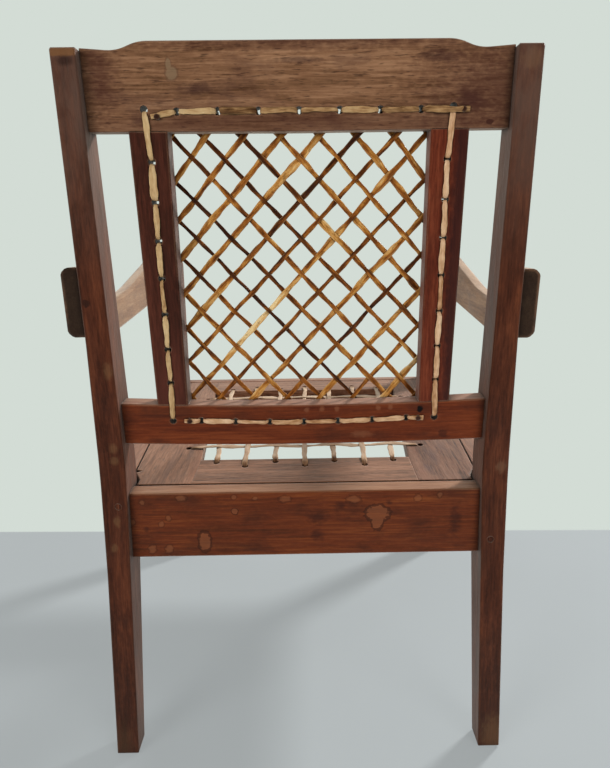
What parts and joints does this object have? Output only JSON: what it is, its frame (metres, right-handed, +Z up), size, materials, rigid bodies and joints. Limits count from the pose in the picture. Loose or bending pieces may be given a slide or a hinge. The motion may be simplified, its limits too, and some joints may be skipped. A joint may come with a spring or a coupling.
{
  "type": "thong-laced armchair",
  "caption": "Pegged hardwood armchair with a raked back and a drop-in seat, both laced with crossing rawhide thongs through drilled frames.",
  "frame": {"origin": "on the floor, at the middle of the chair's footprint box", "axes": "+Z up, +Y towards the back of the chair, +X towards the sitter's left"},
  "size_m": [0.6502, 0.5568, 0.9307],
  "materials": {
    "frame_wood": "old oiled red-brown hardwood, rubbed, with water marks",
    "arm_wood": "old oiled red-brown hardwood, rubbed pale by hands",
    "seat_wood": "red-brown hardwood, worn matt and pale",
    "cleat_wood": "sawn, unfinished",
    "peg_wood": "dark end grain",
    "back_thong": "stiff dry rawhide, amber brown with pale patches",
    "seat_thong": "stiff dry rawhide, cream"
  },
  "bodies": {
    "chair_frame": {"rear_post_left": "frame_wood", "rear_post_right": "frame_wood", "front_leg_left": "frame_wood", "front_leg_right": "frame_wood", "top_rail": "frame_wood", "lower_back_rail": "frame_wood", "back_stile_left": "frame_wood", "back_stile_right": "frame_wood", "rear_apron": "frame_wood", "front_apron": "frame_wood", "side_apron_left": "frame_wood", "side_apron_right": "frame_wood", "arm_left": "arm_wood", "arm_right": "arm_wood", "seat_cleat_rear": "cleat_wood", "seat_cleat_front": "cleat_wood", "seat_cleat_left": "cleat_wood", "seat_cleat_right": "cleat_wood", "rear_joint_pegs": "peg_wood", "front_joint_pegs": "peg_wood", "side_joint_pegs": "peg_wood", "arm_pegs": "peg_wood", "thong_end_pegs": "peg_wood", "back_thongs_falling_left": "back_thong", "back_thongs_falling_right": "back_thong", "back_stitches_top": "back_thong", "back_stitches_bottom": "back_thong", "back_stitches_left": "back_thong", "back_stitches_right": "back_thong"},
    "drop_in_seat": {"seat_side_rail_left": "seat_wood", "seat_side_rail_right": "seat_wood", "seat_rear_rail": "seat_wood", "seat_front_rail": "seat_wood", "seat_thongs_lengthwise": "seat_thong", "seat_thongs_crosswise": "seat_thong", "seat_under_stitches": "seat_thong", "seat_thong_wedges": "peg_wood"}
  },
  "joints": [
    {"name": "seat_lift", "type": "slide", "parent": "chair_frame", "child": "drop_in_seat", "axis": [0, 0, 1], "range_m": [0, 0.05]}
  ]
}
